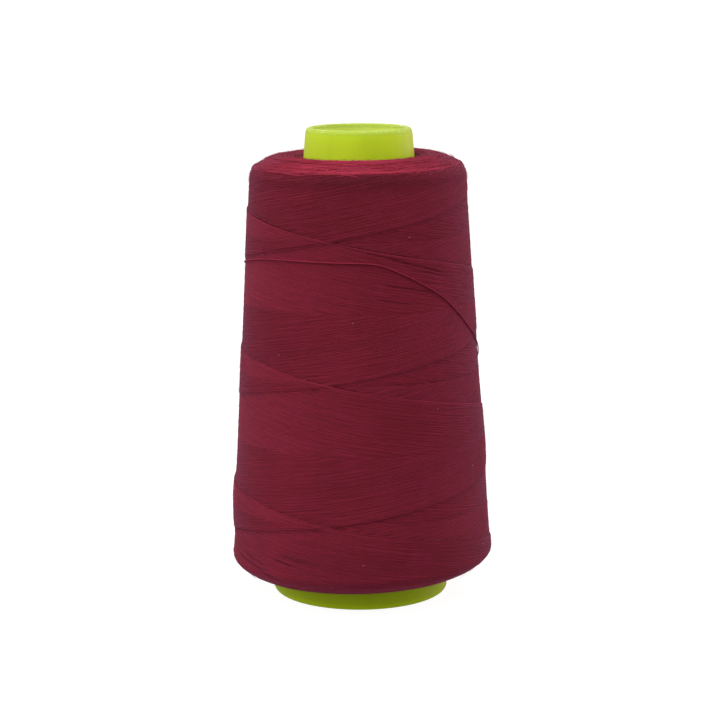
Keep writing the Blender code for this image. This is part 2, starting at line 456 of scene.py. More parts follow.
def furrow_depths(turn, down):
    """How deep each place lies in a furrow, and how far across it the threads are pushed."""
    height = flank_height(down) * 1000
    depth = np.zeros(np.broadcast(turn, down).shape)
    push = np.zeros_like(depth)
    for start, end, start_height, end_height, deep in FURROWS:
        half = (end - start) / 2
        off = degrees_apart(turn, (start + end) / 2)
        line = start_height + (off / half + 1) / 2 * (end_height - start_height)
        within = np.clip((half - np.abs(off)) / FURROW_END + 0.5, 0, 1)
        depth += within * deep * hump(height - line, FURROW_REACH)
        aside = np.sign(height - line) * PUSH_SHARE * deep * hump(height - line, PUSH_REACH)
        push += within * aside
    return depth / 1000, push / 1000


def relief(turn, down):
    """How far the wound layers stand proud of the plain profile."""
    height = flank_height(down)
    gain = 1 + THICK_STEPS_GAIN * hump(height - THICK_STEPS_HEIGHT, THICK_STEPS_REACH)
    proud = -0.5 * (FALLING_STEP + RISING_STEP) * np.ones(np.broadcast(turn, down).shape)
    for falling, step in ((True, FALLING_STEP), (False, RISING_STEP)):
        share = age(turn, down, falling)
        proud += step * np.minimum(share / STEP_WIDTH, (1 - share) / (1 - STEP_WIDTH))
    fade_in = np.clip((down - RIDGE_DOWN) / STEPS_FADE_IN, 0, 1)
    fade_out = np.clip((DOWN[-1] - STEPS_FADE_OUT - down) / STEPS_FADE_OUT, 0, 1)
    proud *= gain * fade_in * fade_out
    for azimuth, middle, amount, wide, tall in UNEVEN_BUILD:
        across = hump(degrees_apart(turn, azimuth), wide)
        proud = proud + amount / 1000 * across * hump(height * 1000 - middle, tall)
    proud = proud + RIDGE_RISE * hump(down - RIDGE_DOWN, RIDGE_REACH)
    return proud - CREASE_DEPTH * hump(down - RIDGE_DOWN + CREASE_FROM_RIDGE, CREASE_REACH)


def band_share(height, band):
    """Nought before a band of heights, rising to one past it."""
    return np.clip((height - band[0]) / (band[1] - band[0]), 0, 1)


def settled(points):
    """Points of the winding, moved by its lean and its askew ends but not where it meets the core."""
    x, y, height = np.moveaxis(points, -1, 0)
    clear = np.clip((np.hypot(x, y) - core_radius(height) - SEAT_GAP) / SEAT_BAND, 0, 1)
    tilt = TOP_TILT * band_share(height, TOP_TILT_BAND)
    tilt = tilt + FOOT_TILT * band_share(height, FOOT_TILT_BAND)
    lean = LEAN * (height - LEAN_HEIGHT)
    return np.stack([x - clear * lean, y, height + clear * tilt * x], axis=-1)


def on_winding(turn, down, lift):
    """Points a lift above the built-up surface, at a turn and a place down the profile."""
    radius = np.interp(down, DOWN, DOWN_RADIUS)
    height = np.interp(down, DOWN, DOWN_HEIGHT)
    out = -np.interp(down, DOWN, SLOPE_HEIGHT)
    up = np.interp(down, DOWN, SLOPE_RADIUS)
    proud = relief(turn, down) + lift
    return settled(around(radius + out * proud, height + up * proud, turn))


def lay_flat(piece, turn, down):
    """A map of the piece unrolled from the cone, for its colours in other programs."""
    mesh = piece.data
    index = np.empty(len(mesh.loops), np.int32)
    mesh.loops.foreach_get("vertex_index", index)
    first = np.empty(len(mesh.polygons), np.int32)
    mesh.polygons.foreach_get("loop_start", first)
    count = np.diff(np.append(first, len(index)))
    across = np.ravel(turn)[index]
    corner = np.repeat(across[first], count)
    across = (across - corner + 0.5) % 1 - 0.5 + corner % 1
    along = 1 - np.ravel(down)[index] / DOWN[-1]
    layer = mesh.uv_layers.new(name="OFBake")
    layer.data.foreach_set("uv", np.column_stack([across, along]).astype(np.float32).ravel())


THREAD_LIGHT = (0.230, 0.0128, 0.0308, 1)
THREAD_DARK = (0.122, 0.0060, 0.0158, 1)
THREAD_SHADE = (0.080, 0.0034, 0.0105, 1)
THREAD_VIOLET = (0.190, 0.0100, 0.0370, 1)
THREAD_BRIGHT = (0.350, 0.0280, 0.0600, 1)
# The plies turn once in this length, from a different start on each thread.
PLY_TURN = 0.0012
PLY_STARTS = (17000, 29000, 43000)
PLY_SPREAD = 1000
# How much the plies darken a thread where they meet, and the level that keeps its mean tone.
PLY_CONTRAST = 0.07
PLY_LEVEL = 0.016


def thread_material(name, plied):
    """Crimson spun polyester, soft and a little furry; each thread's own tone carries painted light
    and shade.
    """
    material, shader, place = new_material(
        name,
        {
            "Specular IOR Level": 0.12,
            "Sheen Weight": 0.19,
            "Sheen Roughness": 0.30,
            "Sheen Tint": (1.0, 0.42, 0.88, 1),
        },
    )
    streak = place.stretched((1, 1, 5)).noise(260, 3, 0.6)
    cloud = place.noise(70, 2)
    fibre = place.noise(5200, 2)
    fuzz = fibre + streak * 0.4
    if plied:
        tone = place.node("ShaderNodeAttribute", {"attribute_name": "tone"}, output=2)
        ring = place.node("ShaderNodeAttribute", {"attribute_name": "ring"}, output=1)
        out, beside = ring.split(0), ring.split(1)
        phase = ring.split(2) * (2 * math.tau / PLY_TURN)
        plies = (out * out - beside * beside) * phase.maths("COSINE", phase)
        plies = plies + out * beside * 2 * phase.maths("SINE", phase)
        tone = tone + plies.maths("MINIMUM", plies - 0.5, 0) * PLY_CONTRAST + PLY_LEVEL
        fuzz = fuzz + plies * 0.5
    else:
        tone = place.stretched((1, 1, 9)).noise(420, 2) * 0.4 + 0.45
    light = tone + (streak - 0.5) * 0.12 + (cloud - 0.5) * 0.3 + (fibre - 0.5) * 0.3
    colour = light.between(0.05, 0.95).mix(THREAD_DARK, THREAD_LIGHT)
    violet = place.noise(230, 3, 0.6).between(0.45, 0.75) * 0.35
    colour = violet.mix(colour, THREAD_VIOLET)
    colour = light.between(0.9, 1.4).mix(colour, THREAD_BRIGHT)
    shade = 1 - tone.between(-0.6, 0.12)
    feed(
        shader,
        {
            "Base Color": shade.mix(colour, THREAD_SHADE),
            "Roughness": 0.62 + fibre * 0.2,
            "Normal": fuzz.bump(0.4, 0.00008),
        },
    )
    return material


body_material = thread_material("wound thread under the top layer", plied=False)
body_turn = np.broadcast_to(np.arange(BODY_AROUND) / BODY_AROUND, (BODY_ROWS, BODY_AROUND))
body_down = np.broadcast_to(np.linspace(0, DOWN[-1], BODY_ROWS)[:, None], body_turn.shape)
body_lift = np.full(body_turn.shape, -BODY_DEPTH)
for falling in (True, False):
    share = age(body_turn, body_down, falling)
    body_lift -= BODY_DIP * hump(np.minimum(share, 1 - share) * LAY, BODY_DIP_REACH)
body_lift -= BODY_FURROW_GAIN * furrow_depths(body_turn, body_down)[0]
body_points = on_winding(body_turn, body_down, body_lift).reshape(-1, 3)
body_faces = grid_faces(BODY_ROWS, BODY_AROUND, wrap_rows=True)
body = new_piece("winding_body", body_points, body_faces, body_material)
lay_flat(body, body_turn, body_down)
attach(body, "root")
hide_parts("winding")

# The top layer: the threads laid last, going down to the right and up to the right. Whichever way
# passed a place later lies on top there, and the other dives under it. Each thread turns back at
# the shoulder and under the hip.
THREADS_IN_A_LAY = 150
SAMPLES_IN_A_TURN = 60
TURN_ROUND = 0.0024
THREAD_SIDES = 5
THREAD_SQUASH = 0.72
THREAD_THICKNESS = (0.9, 1.12)
LAYER_DEPTH = 0.00022
# A trace of tilt keeps a tube's rings defined where its line runs straight outwards.
OUT_TILT = 0.001
# The threads of a lay: how evenly they are spaced, how often a wider gap is left and how wide it
# is, and how far into the next lay the last of them comes.
SPACING = (0.93, 1.07)
GAP_CHANCE = 0.04
GAP = 0.2
LAST_THREAD = 0.988
# The threads turn back this far below the ridge and below the flank's foot. Their paths are worked
# out to a margin past both ends, and kept to these shares of the turn's radius past them.
TOP_TURNS = (-0.0012, 0.0006)
FOOT_TURNS = (0.003, 0.0085)
PATH_MARGIN = 0.02
PAST_TOP = 0.7
PAST_FOOT = 1.7
# How unsteady the lay is, and its waves in a turn: all its threads together, one thread across,
# one thread's height and tone, and where it goes under the other way.
LAY_WAVE = 0.00005
LAY_WAVES = (3, 5)
THREAD_WAVE = 0.00002
THREAD_WAVES = (4, 9, 17)
UNEVEN_LIFT = 0.00002
UNEVEN_TONE = 0.02
UNEVEN_WAVES = (3, 8, 19)
FRAY = 0.004
FRAY_WAVES = (3, 7)
WAVE_SPREAD = (0.8, 1.25)
# The falling lay runs this much lower than its front, clear of the step.
FALLING_SHIFT = 0.00007
# A thread sinks under the other way over this length, and has risen by this share where it comes
# out on top.
UNDER_REACH = 0.0009
UNDER_START = 0.8
# The first thread of a lay lies free along its edge, thicker and prouder than the others, and is
# painted lighter, a highlight along that edge.
FIRST_THICKER = 0.1
FIRST_LIFT = 0.00006
FIRST_FALLING_HIGHLIGHT = 0.26
FIRST_RISING_HIGHLIGHT = 0.12
# The other way's first thread lies between two samples where the age jumps by more than this. A
# thread that dives there is seen up to the first number from that place and gone at the second,
# both as shares of the way between the samples. The third is painted shade, added to its tone
# as it goes.
AGE_JUMP = 0.5
FALLING_DIVE = (-0.04, 0.12, 0)
RISING_DIVE = (-0.16, 0.07, -1.1)
LEAST_SHARE = 0.01
# Tones run from dark at nought to light at one. Each thread's own tone also carries painted light
# and shade.
THREAD_TONE = 0.40
TONE_SPREAD = 0.04
FURROW_SHADE = 2600
UNDER_SHADE = 0.2
# Falling threads catch more light round one azimuth.
LIT_AZIMUTH = -62
LIT_REACH = 42
LIT_TONE = 0.17
# Rings of painted shade, under the ridge, below the shoulder and above the hip: how far down the
# profile, the reach each way, how dark at the front, and the share of it that is left at the sides
# and behind. The front reaches so many degrees each way.
FRONT_REACH = 50
SHADE_RINGS = (
    (RIDGE_DOWN + 0.0014, 0.0022, 0.75, 0),
    (SHOULDER_DOWN + 0.009, 0.010, 0.16, 0),
    (HIP_DOWN - 0.0022, 0.0045, 0.17, 0.5),
)
# Under the hip the threads are painted lighter, against the shade there, from this far below the
# flank, over this length.
UNDER_HIP_FROM = 0.001
UNDER_HIP_BAND = 0.003
UNDER_HIP_PAINTED_LIGHT = 0.40
# Each lay's edge throws a thin shadow on the threads below it.
FALLING_EDGE_SHADE = 0.60
RISING_EDGE_SHADE = 0.40
EDGE_SHADE_FROM = 0.0001
EDGE_SHADE_REACH = 0.00028


def slow_waves(turn, rows, per_turn, seed):
    """Smooth random waves of about unit height, different for each row."""
    phases = np.random.default_rng(seed)
    total = np.zeros((rows, turn.shape[-1]))
    for rate in per_turn:
        phase = phases.uniform(0, math.tau, (rows, 1))
        share = phases.uniform(*WAVE_SPREAD, (rows, 1))
        total += np.sin(math.tau * rate * share * turn + phase)
    return total / math.sqrt(len(per_turn) / 2)


def tube_rings(centres, radius, squash, sides):
    """Rings of points round a line of centres, flatter towards the cone's axis."""
    ahead = np.gradient(centres, axis=0)
    ahead /= np.linalg.norm(ahead, axis=1, keepdims=True)
    out = centres * (1, 1, 0)
    out /= np.linalg.norm(out, axis=1, keepdims=True)
    out = out + (0, 0, OUT_TILT)
    out -= ahead * (out * ahead).sum(axis=1, keepdims=True)
    out /= np.linalg.norm(out, axis=1, keepdims=True)
    beside = np.cross(ahead, out)
    angle = math.tau * np.arange(sides) / sides
    reach = np.broadcast_to(radius, len(centres))[:, None, None]
    ring = np.cos(angle)[None, :, None] * out[:, None] * squash
    ring = ring + np.sin(angle)[None, :, None] * beside[:, None]
    return centres[:, None] + reach * ring


def ring_places(centres, sides):
    """For each point of a tube: where it lies on its ring, and how far along the thread."""
    run = run_of(centres) + math.sin(centres[0] @ PLY_STARTS) * PLY_SPREAD % 1 * PLY_TURN
    angle = math.tau * np.arange(sides) / sides
    out, beside, along = np.broadcast_arrays(np.cos(angle), np.sin(angle), run[:, None])
    return np.stack([out, beside, along], axis=-1).reshape(-1, 3)


def tell_thread(piece, tone, ring):
    """Hands each point's tone and its place on the thread to the thread's material."""
    attribute = piece.data.attributes.new("tone", "FLOAT", "POINT")
    attribute.data.foreach_set("value", np.asarray(tone, np.float32))
    attribute = piece.data.attributes.new("ring", "FLOAT_VECTOR", "POINT")
    attribute.data.foreach_set("vector", np.asarray(ring, np.float32).ravel())


def tubes(name, lines, sides, squash, material):
    """One piece of many closed tubes. Each line has its centres, radius, tone, turn and down."""
    points, faces, tones, rings, turns, downs = [], [], [], [], [], []
    first = 0
    for centres, radius, tone, turn, down in lines:
        count = len(centres)
        points.append(tube_rings(centres, radius, squash, sides).reshape(-1, 3))
        quads = grid_faces(count, sides, wrap_rows=False) + first
        faces += quads[:, ::-1].tolist()
        faces.append(list(range(first, first + sides)))
        last = first + (count - 1) * sides
        faces.append(list(range(last + sides - 1, last - 1, -1)))
        tones.append(np.repeat(np.broadcast_to(tone, count), sides))
        rings.append(ring_places(centres, sides))
        turns.append(np.repeat(turn, sides))
        downs.append(np.repeat(down, sides))
        first += count * sides
    piece = new_piece(name, np.concatenate(points), faces, material)
    tell_thread(piece, np.concatenate(tones), np.concatenate(rings))
    lay_flat(piece, np.concatenate(turns), np.concatenate(downs))
    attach(piece, "root")


def runs_of(seen):
    """Starts and ends of the stretches where a row of flags is true."""
    edges = np.flatnonzero(np.diff(np.concatenate(([0], seen.astype(int), [0]))))
    return edges.reshape(-1, 2)


def dive(other_seen, other_hidden, seen, hidden, falling):
    """Where a thread goes under the other way's first thread, between two of its samples."""
    if abs(other_seen - other_hidden) < AGE_JUMP:
        return [(hidden, hidden, 0)]
    if other_seen > other_hidden:
        share = (1 - other_seen) / (1 - other_seen + other_hidden)
    else:
        share = other_seen / (other_seen + 1 - other_hidden)
    last_seen, gone, shade = FALLING_DIVE if falling else RISING_DIVE
    way = hidden - seen
    return [
        (seen + way * max(share + last_seen, LEAST_SHARE), seen, 0),
        (seen + way * (share + gone), hidden, shade),
    ]


def stretch_samples(start, end, inside, other, falling):
    """A seen stretch of one thread: places along it, the samples they take after, their shades."""
    samples = [(place, place, 0) for place in range(start, end)]
    for seen, hidden in ((start, start - 1), (end - 1, end)):
        if inside[hidden % len(inside)]:
            under = dive(other[seen], other[hidden], seen, hidden, falling)
            samples = under[::-1] + samples if hidden < seen else samples + under
    return samples


def thread_order(random):
    """When in the lay each thread is laid: nought for the first, nearly one for the last."""
    spacing = random.uniform(*SPACING, THREADS_IN_A_LAY)
    spacing[random.random(THREADS_IN_A_LAY) < GAP_CHANCE] += GAP
    laid = np.cumsum(spacing) - spacing[0]
    return (laid / laid[-1] * LAST_THREAD)[:, None]


def thread_paths(falling, laid, top, bottom, seed):
    """Turns, how far down each thread lies at them, and whether it is laid there at all."""
    front = down_to(FALLING_FRONT if falling else RISING_FRONT)
    way = 1 if falling else -1
    reach = (DOWN[-1] + PATH_MARGIN) / LAY
    turn = np.linspace(-reach, reach, int(2 * reach * SAMPLES_IN_A_TURN))[None, :]
    straight = front + way * LAY / FLANK_DROP * (turn + laid)
    straight = straight + LAY_WAVE * slow_waves(turn, 1, LAY_WAVES, seed + 4)
    if falling:
        straight = straight + wander(turn) / FLANK_DROP + FALLING_SHIFT
    waves = slow_waves(turn, THREADS_IN_A_LAY, THREAD_WAVES, seed + 1)
    straight = straight + THREAD_WAVE * waves
    above = straight - (top - TURN_ROUND)
    down = top - TURN_ROUND + np.hypot(above, TURN_ROUND)
    below = bottom + TURN_ROUND - down
    down = bottom + TURN_ROUND - np.hypot(below, TURN_ROUND)
    inside = (above > -PAST_TOP * TURN_ROUND) & (straight < bottom + PAST_FOOT * TURN_ROUND)
    return turn, down, inside


def lit_tone(tone, turn, down, falling):
    """The threads' tone with light and shade painted in: at the lit side, the winding's and lays'
    edges.
    """
    if falling:
        tone = tone + LIT_TONE * hump(degrees_apart(turn, LIT_AZIMUTH), LIT_REACH)
    front_share = hump(degrees_apart(turn, 0), FRONT_REACH)
    for middle, ring_reach, dark, at_sides in SHADE_RINGS:
        share = at_sides + (1 - at_sides) * front_share
        tone = tone - dark * hump(down - middle, ring_reach) * share
    under_hip = np.clip((down - HIP_DOWN - UNDER_HIP_FROM) / UNDER_HIP_BAND, 0, 1)
    tone = tone + UNDER_HIP_PAINTED_LIGHT * under_hip
    for way_laid, shadow in ((True, FALLING_EDGE_SHADE), (False, RISING_EDGE_SHADE)):
        before_edge = (1 - age(turn, down, way_laid)) * LAY
        tone = tone - shadow * hump(before_edge - EDGE_SHADE_FROM, EDGE_SHADE_REACH)
    return tone


def lay_threads(falling, seed):
    """The lines of one way of laying, cut where the other way lies over them."""
    random = np.random.default_rng(seed)
    laid = thread_order(random)
    top = RIDGE_DOWN + random.uniform(*TOP_TURNS, laid.shape)
    bottom = HIP_DOWN + random.uniform(*FOOT_TURNS, laid.shape)
    turn, down, inside = thread_paths(falling, laid, top, bottom, seed)
    other = age(turn, down, not falling)
    fray = FRAY * slow_waves(turn, THREADS_IN_A_LAY, FRAY_WAVES, seed + 2)
    over = (other - laid + fray) * LAY / 2
    rise = np.clip(over / UNDER_REACH + UNDER_START, 0, 1)
    depth, push = furrow_depths(turn, down)
    uneven = slow_waves(turn, THREADS_IN_A_LAY, UNEVEN_WAVES, seed + 3)
    first = (laid == 0).astype(float)
    thick = random.uniform(*THREAD_THICKNESS, laid.shape) * (1 + FIRST_THICKER * first)
    radius = 0.5 * THREAD_WIDTH * thick
    lift = (rise - 1) * LAYER_DEPTH - depth + UNEVEN_LIFT * uneven
    lift = lift + FIRST_LIFT * first - FIRST_LIFT
    tone = THREAD_TONE + TONE_SPREAD * random.standard_normal(laid.shape)
    tone = tone + UNEVEN_TONE * uneven - FURROW_SHADE * depth
    tone = lit_tone(tone, turn, down, falling)
    # The first thread's painted highlight.
    first_highlight = FIRST_FALLING_HIGHLIGHT if falling else FIRST_RISING_HIGHLIGHT
    tone = tone + first_highlight * first - UNDER_SHADE * (1 - rise)
    down = down - push
    shown = inside & (over > -UNDER_REACH)
    sample = np.arange(turn.size)
    lines = []
    for row in range(THREADS_IN_A_LAY):
        for start, end in runs_of(shown[row]):
            samples = stretch_samples(start, end, inside[row], other[row], falling)
            if len(samples) < 3:
                continue
            places, values, shades = map(list, zip(*samples))
            line_turn = np.interp(places, sample, turn[0])
            line_down = np.interp(places, sample, down[row])
            centres = on_winding(line_turn, line_down, lift[row, values])
            line_tone = tone[row, values] + shades
            lines.append((centres, radius[row, 0], line_tone, line_turn, line_down))
    return lines


laid_material = thread_material("crimson spun thread", plied=True)
for lay_name, falling, seed in (("falling_threads", True, 100), ("rising_threads", False, 200)):
    lay_lines = lay_threads(falling, seed)
    tubes(lay_name, lay_lines, THREAD_SIDES, THREAD_SQUASH, laid_material)

# The ends: where the thread turned back in each layer it shows as short flat arcs, lying almost
# along the edge, over the top face, on the shoulder's ridge and under the hip.
ARC_STEP = 4.5
ARC_SQUASH = 0.85
ARC_THICKNESS = (0.9, 1.1)
ARC_WAVE = 0.00006
ARC_WAVES = (6, 15)
INNER_MARGIN = 0.0002
# An arc's ends sink under the others, and are darker there; each arc has a tone of its own.
ARC_SINK = 0.00024
ARC_END_SHADE = 0.2
ARC_TONE_SPREAD = 0.17
# The top's arcs are dark behind the core, within this reach of it and these many degrees of the
# back, and catch the light most near the front, where those under the hip are darkest.
CORE_SHADE = 0.9
CORE_SHADE_DOWN = 0.0004
CORE_SHADE_REACH = 0.0011
CORE_SHADE_SPAN = 100
FRONT_LIT_TONE = 0.52
FRONT_LIT_AZIMUTH = -6
FRONT_LIT_SPAN = 38
# Each band of arcs: how many, how far down their middles lie, how far they bow towards the cone's
# end, half their length in degrees, how proud they lie, their tone, the seed of their places, and
# which end of the cone it is: 1 for the top and -1 for the foot.
# The bands' tones are painted: the top's arcs lighter than the flank's threads, as the top face's
# light, those on the ridge lighter still, as a highlight, and those under the hip lighter, against
# the shade there.
TOP_ARCS = (
    640, (0.0003, RIDGE_DOWN - 0.0004), (0.0002, 0.0026), (12, 42), (-0.00012, 0.00003), 0.60, 500, 1
)
RIDGE_ARCS = (
    34, (RIDGE_DOWN - 0.0013, RIDGE_DOWN - 0.0001), (0.0002, 0.0007), (10, 30), (0.00002, 0.00014),
    0.85, 900, 1,
)
FOOT_ARCS = (
    300, (HIP_DOWN + 0.007, DOWN[-1] - 0.0003), (0.0003, 0.0025), (20, 50), (-0.00014, 0.00003),
    0.75, 1400, -1,
)


def edge_arcs(count, middles, bow, half, lift, tone, seed, way):
    """Arcs at random azimuths, each bowed towards the end of the cone at its middle."""
    random = np.random.default_rng(seed)
    lines = []
    for index in range(count):
        azimuth = random.uniform(-180, 180)
        span = random.uniform(*half)
        depth = random.uniform(*bow) * way
        middle = middles[0] + (middles[1] - middles[0]) * (index + random.random()) / count
        degrees = np.arange(-span, span + ARC_STEP, ARC_STEP)
        share = degrees / span
        down = middle + depth * share**2
        down = down + ARC_WAVE * slow_waves(degrees[None] / 360, 1, ARC_WAVES, seed + index)[0]
        down = np.clip(down, INNER_MARGIN, DOWN[-1] - INNER_MARGIN)
        turn = (azimuth + degrees) / 360
        centres = on_winding(turn, down, random.uniform(*lift) - ARC_SINK * share**4)
        arc_tone = random.normal(tone, ARC_TONE_SPREAD) - ARC_END_SHADE * share**4
        by_the_core = hump(down - CORE_SHADE_DOWN, CORE_SHADE_REACH)
        by_the_core = by_the_core * hump(degrees_apart(turn, 180), CORE_SHADE_SPAN)
        front_lit = hump(degrees_apart(turn, FRONT_LIT_AZIMUTH), FRONT_LIT_SPAN)
        arc_tone = arc_tone - CORE_SHADE * way * by_the_core + FRONT_LIT_TONE * way * front_lit
        radius = 0.5 * THREAD_WIDTH * random.uniform(*ARC_THICKNESS)
        lines.append((centres, radius, arc_tone, turn, down))
    return lines


for arcs_name, bands in (("end_threads", (TOP_ARCS, RIDGE_ARCS)), ("foot_threads", (FOOT_ARCS,))):
    arc_lines = [line for band in bands for line in edge_arcs(*band)]
    tubes(arcs_name, arc_lines, THREAD_SIDES, ARC_SQUASH, laid_material)

# Loose fibres: spun thread is furry, and the ends of its fibres stand a little off the surface.
# A few pale specks of lint have caught on it.
FIBRES = 5600
END_FIBRES = 1500
END_FIBRE_SHARE = 0.65
FIBRE_LENGTHS = (0.0007, 0.0024)
FIBRE_STAND = (0.00010, 0.00048)
FIBRE_TONES = (0.6, 1.0)
FIBRE_WIDTH = 0.000026
FIBRE_SIDES = 3
FIBRE_POINTS = 5
FIBRE_BEND = 1.6
FIBRE_ROOT = 0.00004
# Where down the profile fibres start, and more of them on the top face. They bend back towards the
# surface after five eighths of their length.
FIBRE_PLACES = (0.001, DOWN[-1] - 0.004)
END_FIBRE_PLACES = (0.0004, SHOULDER_DOWN + 0.001)
FIBRE_CURL = 0.8
FIBRE_CURL_END = 0.7
LINT_STAND = (0.0001, 0.0002)
LINT_TONE = 0.5
LINT_WIDTH = 0.00007
LINT_SIDES = 5
LINT_PINK = (0.50, 0.28, 0.31, 1)
LINT_PALE = (0.76, 0.60, 0.60, 1)
# Lint: azimuth in degrees, height in millimetres and length in millimetres.
LINT = (
    (-3, 71.5, 0.28),
    (26, 91.0, 0.22),
    (60, 34.5, 0.28),
    (1, 14.4, 0.35),
    (66, 14.0, 0.30),
    (-13, 8.6, 0.30),
    (38, 50.3, 0.20),
    (-41, 63.0, 0.20),
)


def fibre_lines(turns, downs, lengths, tones, stand, width, seed):
    """Short curling lines that leave the surface and bend back towards it."""
    random = np.random.default_rng(seed)
    share = np.linspace(0, 1, FIBRE_POINTS)
    lines = []
    for turn, down, length, tone in zip(turns, downs, lengths, tones):
        heading = random.uniform(0, math.tau)
        bend = random.uniform(-FIBRE_BEND, FIBRE_BEND)
        rise = random.uniform(*stand)
        angle = heading + bend * share
        step = length / (FIBRE_POINTS - 1)
        along = np.concatenate(([0], np.cumsum(step * np.cos(angle[1:]))))
        away = np.concatenate(([0], np.cumsum(step * np.sin(angle[1:]))))
        radius = np.interp(down, DOWN, DOWN_RADIUS)
        path_turn = turn + along / (math.tau * radius)
        path_down = np.clip(down + away, INNER_MARGIN, DOWN[-1] - INNER_MARGIN)
        lift = FIBRE_ROOT + rise * np.sin(math.pi * np.minimum(share * FIBRE_CURL, FIBRE_CURL_END))
        centres = on_winding(path_turn, path_down, lift)
        lines.append((centres, width / 2, tone, path_turn, path_down))
    return lines


scatter = np.random.default_rng(41)
fibre_turns = scatter.uniform(-0.5, 0.5, FIBRES)
fibre_downs = scatter.uniform(*FIBRE_PLACES, FIBRES)
fibre_downs[:END_FIBRES] = scatter.uniform(*END_FIBRE_PLACES, END_FIBRES)
fibre_lengths = scatter.uniform(*FIBRE_LENGTHS, FIBRES)
fibre_lengths[:END_FIBRES] *= END_FIBRE_SHARE
fibre_tones = scatter.uniform(*FIBRE_TONES, FIBRES)
fibres = fibre_lines(
    fibre_turns, fibre_downs, fibre_lengths, fibre_tones, FIBRE_STAND, FIBRE_WIDTH, 7
)
tubes("loose_fibres", fibres, FIBRE_SIDES, 1, laid_material)

lint_material, shader, place = new_material("pale lint", {"Sheen Weight": 0.3})
feed(
    shader,
    {
        "Base Color": place.noise(3000, 2).mix(LINT_PINK, LINT_PALE),
        "Roughness": 0.7 + place.noise(900, 2) * 0.2,
    },
)
azimuths, heights, lengths = np.array(LINT).T
lint_tones = [LINT_TONE] * len(LINT)
specks = fibre_lines(
    azimuths / 360, down_to(heights / 1000), lengths / 1000, lint_tones, LINT_STAND, LINT_WIDTH, 9
)
tubes("lint", specks, LINT_SIDES, 1, lint_material)

# The loose end: the thread's free length, two plies twisted together. It comes out of the winding
# behind, lies round the front and down the far side, and is tucked in at the core's foot.
LOOSE_DIAMETER = 0.00035
LOOSE_STAND_OFF = 0.00002
LOOSE_POINTS = 640
LOOSE_SIDES = 10
# The loose end is painted lighter than the laid threads, as the light that it catches.
LOOSE_LIT_TONE = 0.82
# The plies turn once in this length, and the outline is wider by this share across them.
PLY_TWIST = 0.0016
PLY_SWELL = 0.20
# The start is sunk into the winding, over the first few millimetres.
TUCK = 0.004
TUCK_DEPTH = 0.0005
# It bridges the winding's steps over this many points each way, and leaves the flank for the foot
# between these azimuths.
BRIDGE = 5
LEAVING = (235, 241)
# The curve between two points of the route is drawn in this many steps.
ROUTE_STEPS = 40
# The route: azimuth in degrees, height and the distance from the axis in metres, or None where
# the thread lies on the winding's flank.
LOOSE_ROUTE = (
    (-125, 0.0789, None),
    (-103, 0.0810, None),
    (-80, 0.0831, None),
    (-56, 0.0850, None),
    (-35, 0.0856, None),
    (-14, 0.0856, None),
    (2, 0.0855, None),
    (11, 0.0849, None),
    (21, 0.0829, None),
    (31, 0.0804, None),
    (43, 0.0770, None),
    (55, 0.0725, None),
    (67, 0.0676, None),
    (87, 0.0610, None),
    (115, 0.0520, None),
    (145, 0.0426, None),
    (175, 0.0332, None),
    (202, 0.0242, None),
    (222, 0.0174, None),
    (235, 0.0128, None),
    (241, 0.0091, 0.0326),
    (245, 0.0067, 0.0306),
    (248, 0.0051, 0.0280),
    (251, 0.0045, 0.0253),
    (254, 0.0044, 0.0226),
)


def plain_flank(height):
    """The flank's distance from the axis, a straight taper with no layers on it."""
    share = (height - HIP_HEIGHT) / (SHOULDER_HEIGHT - HIP_HEIGHT)
    return HIP_RADIUS + share * (SHOULDER_RADIUS - HIP_RADIUS)


def loose_centres():
    """Evenly spaced points of the loose end, on a smooth curve through its route, and their run."""
    rows = []
    for azimuth, height, radius in LOOSE_ROUTE:
        rows.append((azimuth, height, 0 if radius is None else radius - plain_flank(height)))
    rows = np.array(rows, float)
    rows = np.vstack((2 * rows[0] - rows[1], rows, 2 * rows[-1] - rows[-2]))
    fine = []
    for a, b, c, d in zip(rows, rows[1:], rows[2:], rows[3:]):
        for t in np.linspace(0, 1, ROUTE_STEPS, endpoint=False):
            cubic = (3 * b - 3 * c + d - a) * t**3 + (2 * a - 5 * b + 4 * c - d) * t**2
            fine.append((cubic + (c - a) * t + 2 * b) / 2)
    azimuth, height, away = np.array([*fine, rows[-2]]).T
    proud = relief(azimuth / 360, down_to(height))
    span = 2 * BRIDGE + 1
    bridged = np.convolve(np.pad(proud, BRIDGE, mode="edge"), np.ones(span), mode="valid") / span
    proud = np.maximum(proud, bridged) + LOOSE_STAND_OFF + LOOSE_DIAMETER / 2
    left_flank = np.clip((azimuth - LEAVING[0]) / (LEAVING[1] - LEAVING[0]), 0, 1)
    proud = proud + (away - proud) * left_flank
    points = settled(around(plain_flank(height) + proud, height, azimuth / 360))
    run = run_of(points)
    even = np.linspace(0, run[-1], LOOSE_POINTS)
    points = np.column_stack([np.interp(even, run, column) for column in points.T])
    out = points * (1, 1, 0)
    out /= np.linalg.norm(out, axis=1, keepdims=True)
    return points - out * TUCK_DEPTH * hump(even, TUCK)[:, None], even


def two_ply_rings(centres, even):
    """Two touching round plies, wound round each other, as one twisted outline."""
    rings = tube_rings(centres, 1.0, 1.0, LOOSE_SIDES) - centres[:, None]
    angle = math.tau * np.arange(LOOSE_SIDES)[None, :] / LOOSE_SIDES
    twist = math.tau * even[:, None] / PLY_TWIST
    reach = LOOSE_DIAMETER / 2 * (1 - PLY_SWELL + PLY_SWELL * np.cos(2 * (angle - twist)))
    return centres[:, None] + rings * reach[:, :, None]


